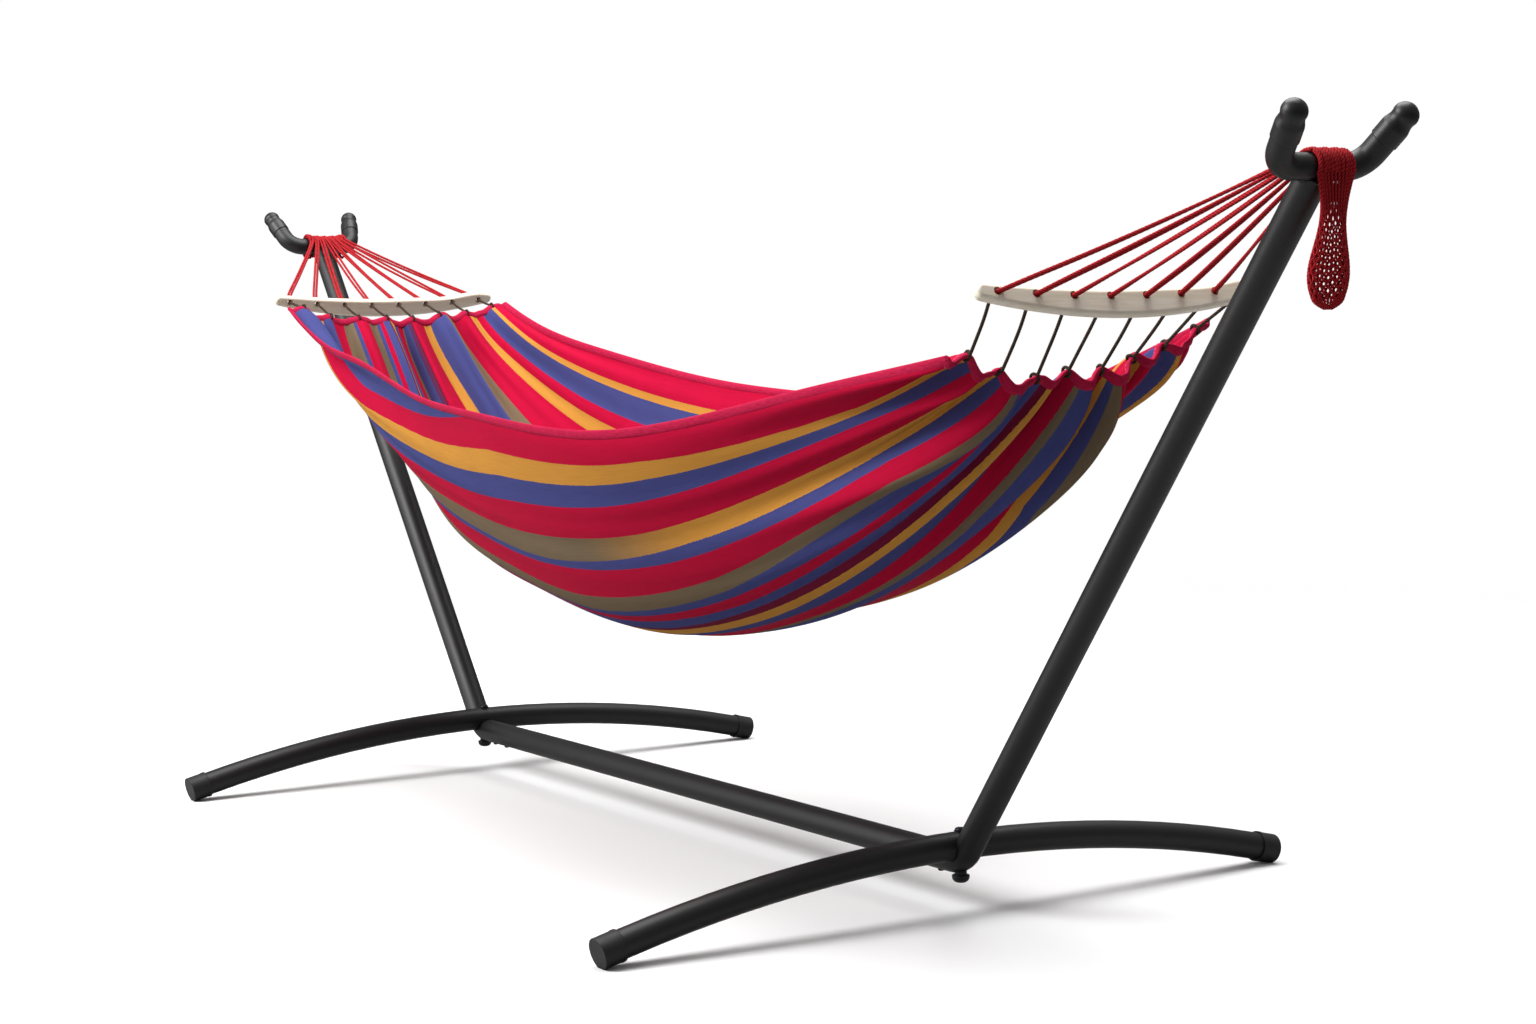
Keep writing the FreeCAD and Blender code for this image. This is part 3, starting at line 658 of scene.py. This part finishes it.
def hemAlong(name, edge, inner, halfWidth, halfThickness):
    # a rolled hem: a flat ellipse carried along an edge, its long axis lying in the cloth
    sides = 16
    turn = np.linspace(0, 2 * np.pi, sides, endpoint=False)
    tangent = unit(np.gradient(edge, axis=0))
    inCloth = unit(inner - edge)
    inCloth = unit(inCloth - tangent * np.sum(inCloth * tangent, 1, keepdims=True))
    outward = np.cross(tangent, inCloth)
    centre = edge + inCloth * halfWidth * hem["inset"]
    puff = 1 + hem["puff"] * np.sin(lengthAlong(edge) / hem["puffLength"])
    points = centre[:, None] + halfWidth * np.cos(turn)[None, :, None] * inCloth[:, None] \
        + (halfThickness * puff)[:, None, None] * np.sin(turn)[None, :, None] * outward[:, None]
    closed = np.linspace(0, 1, sides + 1)
    uv = np.stack(np.broadcast_arrays(lengthAlong(edge)[:, None], closed[None]), -1)
    return gridMesh(name, points, closedColumns=True, uv=uv, caps=True)


sideHems = [hemAlong("sideHem", bedPoints[:, column], bedPoints[:, column + inward], *hem["side"])
            for column, inward in ((0, 3), (-1, -3))]
endHems = [hemAlong("endHem", bedPoints[row], bedPoints[row + inward], *hem["end"])
           for row, inward in ((0, 4), (-1, -4))]
hemPieces = [newPiece("sideHems", joinMeshes("sideHems", sideHems), hemCloth, "hammock"),
             newPiece("endHems", joinMeshes("endHems", endHems), hemCloth, "hammock")]
print("hems made")


# The spreader bars: where their holes are

bars = {
    "right": {"side": 1, "centre": (1.180, 0, 0.884)},
    "left": {"side": -1, "centre": (-1.219, 0, 0.908)},
}
bar = {"half": 0.240, "thickness": 0.016, "tilt": math.radians(25), "holes": 8, "pitch": 0.060,
       "holeHeight": 0.002, "bow": 0.012}


def barFrame(word):
    # the bar's bore direction towards the hook, and the middle of each hole
    side = bars[word]["side"]
    bore = np.array([side * math.cos(bar["tilt"]), 0, math.sin(bar["tilt"])])
    height = np.array([-side * math.sin(bar["tilt"]), 0, math.cos(bar["tilt"])])
    y = (np.arange(bar["holes"]) - (bar["holes"] - 1) / 2) * bar["pitch"]
    rise = bar["holeHeight"] + bar["bow"] * (y / bar["half"]) ** 2
    return bore, np.array(bars[word]["centre"], float) + y[:, None] * [0, 1, 0] + rise[:, None] * height


# The suspension strands between cradle and bar

strand = {
    "radius": 0.0025, "pairOffset": 0.0029, "rows": 0.0018, "startX": 0.027, "startZ": 0.010,
    "pitch": {"right": 0.0038, "left": 0.0054}, "middle": {"right": 0.012, "left": 0.008}, "sag": 0.004,
    "gap": 0.0012,                                            # above the cradle's tube
    "overCradle": [math.radians(turn) for turn in (70, 96, 118)],
    "blendFrom": (1.44, 1.0), "blendTo": (1.524, 1.05),       # where a strand would leave hammock for stand; nothing reads these
}


def strandRoute(word, number):
    # from under the loop on top of the cradle, off its inner side and straight down into the bar's hole
    side = bars[word]["side"]
    hole, half = divmod(number, 2)
    row = strand["rows"] if half else -strand["rows"]        # the upper and the lower strand of a pair
    y = strand["middle"][word] + (number - bar["holes"] + 0.5) * strand["pitch"][word]
    bore, holes = barFrame(word)
    end = holes[hole] + np.array([0, (2 * half - 1) * strand["pairOffset"], 0])
    reach = hook["tubeRadius"] + strand["radius"] + strand["gap"]
    top = [np.array([side * (hook["x"] + reach * math.cos(angle)), y, hook["z"] + reach * math.sin(angle)])
           for angle in strand["overCradle"]]
    start = np.array([side * (hook["x"] - strand["startX"]), y, hook["z"] + strand["startZ"] + row])
    mouth = end + bore * (bar["thickness"] / 2 + 0.001)
    sag = np.array([0, 0, -strand["sag"] * (1 + 0.6 * math.sin(number * 2.3))])
    spans = [start + (mouth - start) * share + sag * 4 * share * (1 - share) for share in (0.3, 0.65, 0.93)]
    return np.array(top + [start] + spans + [end + bore * 0.002])


declared = 0
for word in bars:
    for number in range(2 * bar["holes"]):
        line = cordLine(strandRoute(word, number), 150)
        name = f"strand_{word}_{number + 1}"
        mesh = ropeMesh(name, line, strand["radius"], (0, 1, 0.2))
        piece = newPiece(name, mesh, redCotton, None, [f"strands_{word}_{number // 2 + 1}"])
        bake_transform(piece)
        declared += 1
print("strands made:", declared)


# The lashing cords between bar and cloth

# forty cords may be declared, so four of an end's eight lashings are; all eight are made alike
lashing = {"radius": 0.0025, "declared": (0, 2, 5, 7), "loopRadius": 0.0065, "loopCord": 0.0024,
           "loopInset": 0.004, "inBore": 0.004, "straight": 0.006}


def ringMesh(name, centre, first, second, radius, cord):
    # a ring of cord: a circle in the plane of two directions, its ends a hair apart
    turn = np.linspace(0, 2 * np.pi * 0.985, 40)
    path = centre + radius * (np.cos(turn)[:, None] * first + np.sin(turn)[:, None] * second)
    return ropeMesh(name, path, cord, np.cross(first, second), sides=8)


bedNormals = inwardNormals(bedPoints)
for word, row, inner in (("right", -1, -5), ("left", 0, 4)):
    bore, holes = barFrame(word)
    rings = []
    for number in range(bar["holes"]):
        column = int(np.argmin(np.abs(bedShares - (2 * number - bar["holes"] + 1) / bar["holes"])))
        tie = bedPoints[row, column]
        inward = unit(bedPoints[inner, column] - tie)
        loopCentre = tie + inward * lashing["loopInset"]
        rings.append(ringMesh("loop", loopCentre, inward, bedNormals[row, column], lashing["loopRadius"],
                              lashing["loopCord"]))
        start = holes[number] - bore * (bar["thickness"] / 2 - lashing["inBore"])
        end = loopCentre - inward * lashing["loopRadius"]
        sag = np.array([0, 0.001 * math.sin(number * 1.7), -0.001])
        middle = [start + (end - start) * share + sag for share in (0.35, 0.7)]
        line = cordLine(np.array([start, start - bore * lashing["straight"]] + middle + [end]), 60)
        name = f"lashing_{word}_{number + 1}"
        mesh = ropeMesh(name, line, lashing["radius"], (0, 1, 0.2))
        piece = newPiece(name, mesh, darkCotton, "hammock", [f"lashing_cords_{word}"])
    newPiece(f"lashingLoops_{word}", joinMeshes("lashingLoops", rings), darkCotton, "hammock")
print("lashing made")


# The gathering loops over the cradles

# number of cords, middle and half width along Y, start and end angles, rise of the outermost cords
wrap = {
    "right": {"count": 10, "middle": 0.012, "half": 0.0265, "inner": 168, "outer": -20, "spread": 0.0},
    "left": {"count": 15, "middle": 0.008, "half": 0.0405, "inner": 150, "outer": -95, "spread": 0.004},
    "gap": 0.0004, "uneven": 0.0008, "overlap": 1.06,
}


def loopWrap(word):
    # cords side by side over the cradle: arcs round the tube's axis, each a little uneven
    settings = wrap[word]
    turn = np.linspace(math.radians(settings["inner"]), math.radians(settings["outer"]), 60)
    radius = settings["half"] / (settings["count"] - 1)
    meshes = []
    for number in range(settings["count"]):
        share = 2 * number / (settings["count"] - 1) - 1
        reach = hook["tubeRadius"] + radius + wrap["gap"] + wrap["uneven"] * math.sin(number * 2.1) \
            + settings["spread"] * abs(share) ** 3
        y = settings["middle"] + share * settings["half"] + wrap["uneven"] * np.sin(turn * 2 + number)
        path = np.stack([bars[word]["side"] * (hook["x"] + reach * np.cos(turn)), y,
                         hook["z"] + reach * np.sin(turn)], 1)
        meshes.append(ropeMesh("wrapCord", path, radius * wrap["overlap"], (0, 1, 0), sides=9))
    return joinMeshes("loopWrap_" + word, meshes)


for word in bars:
    newPiece("loopWrap_" + word, loopWrap(word), redCotton, "stand", ["loop_wrap_" + word])


tail = {
    # distance below the hinge, half width, half thickness and shift along Y
    "sections": [(0.0, 0.0285, 0.0020, 0.0), (0.036, 0.0205, 0.0048, -0.003), (0.062, 0.0200, 0.0068, -0.006),
                 (0.095, 0.0265, 0.0098, -0.010), (0.124, 0.0305, 0.0118, -0.013),
                 (0.148, 0.0250, 0.0098, -0.014), (0.158, 0.0170, 0.0065, -0.014),
                 (0.164, 0.0060, 0.0030, -0.014)],
    "hinge": (1.5603, 0.012, 1.0304),
    "strands": 28, "rows": 21,
    "netStart": 0.04, "netEnd": 0.154,      # the net lies between these drops
    "swing": 0.46,                          # how far a cord swings, as a share of the cords' spacing
    "fullness": 1.15, "netShare": 0.72,     # cord radius by its share of the bag, and in the net
}


def loopTail():
    # the slack netted end: cords run down an oval bag and, below its neck, swing to and fro against
    # their neighbours, so that they meet in rows and leave a net of small holes
    drop = np.linspace(0, tail["sections"][-1][0], 240)
    half, thick, shift = naturalSpline([row[0] for row in tail["sections"]],
                                       [row[1:] for row in tail["sections"]], drop).T
    netted = np.clip((drop - tail["netStart"]) / 0.02, 0, 1) * np.clip((tail["netEnd"] - drop) / 0.008, 0, 1)
    meshes = []
    for number in range(tail["strands"]):
        beat = np.cos(np.pi * tail["rows"] * drop / drop[-1] + 0.5 * math.sin(number * 1.9))
        swing = (-1) ** number * tail["swing"] * netted * beat
        angle = 2 * np.pi * (number + 0.5 + swing) / tail["strands"]
        path = np.stack([tail["hinge"][0] + thick * np.cos(angle),
                         tail["hinge"][1] + shift + half * np.sin(angle),
                         tail["hinge"][2] - drop], 1)
        radius = tail["fullness"] * 2 * half / tail["strands"] * (1 + (tail["netShare"] - 1) * netted)
        meshes.append(ropeMesh("tailCord", path, radius, (0, 1, 0.1), sides=6))
    return joinMeshes("loopTail", meshes)


newPiece("loopTail", loopTail(), redCotton, "loop_end", ["loop_tail"])
print("loops made")


# Camera, light and floor

view = {"place": (3.9684, -2.2788, 0.8724), "turn": 58.32, "down": 4.16, "roll": -1.05, "lens": 63.53}


def addCamera():
    # a camera turned round Z from straight along Y, then tipped down, then rolled about its own axis
    turn, down, roll = (math.radians(view[word]) for word in ("turn", "down", "roll"))
    forward = np.array([-math.sin(turn) * math.cos(down), math.cos(turn) * math.cos(down), -math.sin(down)])
    right = np.array([math.cos(turn), math.sin(turn), 0])
    upward = np.cross(right, forward)
    right, upward = (right * math.cos(roll) + upward * math.sin(roll),
                     upward * math.cos(roll) - right * math.sin(roll))
    data = bpy.data.cameras.new("camera")
    data.lens, data.sensor_width = view["lens"], 36.0
    data.clip_end = 200
    camera = bpy.data.objects.new("camera", data)
    matrix = np.eye(4)
    matrix[:3, 0], matrix[:3, 1], matrix[:3, 2], matrix[:3, 3] = right, upward, -forward, view["place"]
    camera.matrix_world = Matrix(matrix.tolist())
    bpy.context.scene.collection.objects.link(camera)
    bpy.context.scene.camera = camera


def addAreaLight(name, place, target, size, power):
    # a square lamp turned towards its target
    data = bpy.data.lights.new(name, "AREA")
    data.shape, data.size, data.energy = "SQUARE", size, power
    lamp = bpy.data.objects.new(name, data)
    lamp.location = place
    lamp.rotation_euler = (Vector(target) - Vector(place)).to_track_quat("-Z", "Y").to_euler()
    bpy.context.scene.collection.objects.link(lamp)


light = {
    "sky": 0.5, "horizon": 0.16,              # the room's brightness overhead and at its horizon
    "key": 370, "top": 320, "fill": 130,      # watts
    "floor": 0.8, "floorBounce": 0.36,        # the floor as the camera sees it, and as it throws light back
    "fadeStart": 2.4, "fadeEnd": 4.5, "floorHalf": 12.0,
}


def addRoom():
    # a white room: what the camera sees is white, and the light comes from above more than from the sides
    world = bpy.data.worlds.new("studio")
    bpy.context.scene.world = world
    world.use_nodes = True
    place = addNode(world, "TexCoord").outputs["Generated"]
    parts = addNode(world, "SeparateXYZ", {"Vector": place})
    ramp = addNode(world, "MapRange", {"Value": parts.outputs["Z"], "To Min": light["horizon"],
                                       "To Max": light["sky"]}, interpolation_type="SMOOTHSTEP")
    white = (1, 1, 1, 1)
    soft = addNode(world, "Background", {"Color": white, "Strength": ramp.outputs["Result"]})
    seen = addNode(world, "Background", {"Color": white})
    rays = addNode(world, "LightPath")
    shown = addNode(world, "MixShader", {0: rays.outputs["Is Camera Ray"], 1: soft.outputs[0],
                                         2: seen.outputs[0]})
    feed(world, world.node_tree.nodes["World Output"], "Surface", shown.outputs[0])


def addFloor():
    # the floor is pale where the camera sees it, throws back less light than that, and fades
    # into the white room some metres out
    material, shader = newSurface("paleFloor", {"Roughness": 0.9, "Specular IOR Level": 0.0})
    ray = addNode(material, "LightPath")
    tone = addNode(material, "MapRange", {"Value": ray.outputs["Is Camera Ray"],
                                          "To Min": light["floorBounce"], "To Max": light["floor"]})
    feed(material, shader, "Base Color", tone.outputs["Result"])
    where = addNode(material, "TexCoord").outputs["Object"]
    far = addNode(material, "VectorMath", {0: where}, operation="LENGTH")
    edges = {"Value": far.outputs["Value"], "From Min": light["fadeStart"], "From Max": light["fadeEnd"]}
    fade = addNode(material, "MapRange", edges, interpolation_type="SMOOTHSTEP")
    clear = addNode(material, "BsdfTransparent")
    shown = addNode(material, "MixShader", {0: fade.outputs["Result"], 1: shader.outputs[0],
                                            2: clear.outputs[0]})
    feed(material, material.node_tree.nodes["Material Output"], "Surface", shown.outputs[0])
    size = light["floorHalf"]
    corners = np.array([[[-size, -size, 0], [-size, size, 0]], [[size, -size, 0], [size, size, 0]]], float)
    floor = bpy.data.objects.new("floor", gridMesh("floor", corners))
    floor.data.materials.append(material)
    bpy.context.scene.collection.objects.link(floor)


addCamera()
addRoom()
addFloor()
addAreaLight("keyLight", (-1.0, -4.2, 4.0), (0, 0, 0.5), 3.0, light["key"])
addAreaLight("topLight", (-0.5, 0.8, 5.0), (0, 0, 0.4), 4.0, light["top"])
addAreaLight("fillLight", (-3.2, -5.0, 1.6), (-0.5, 0, 0.6), 4.0, light["fill"])
bpy.context.scene.view_settings.view_transform = "Standard"
print("camera and light set")
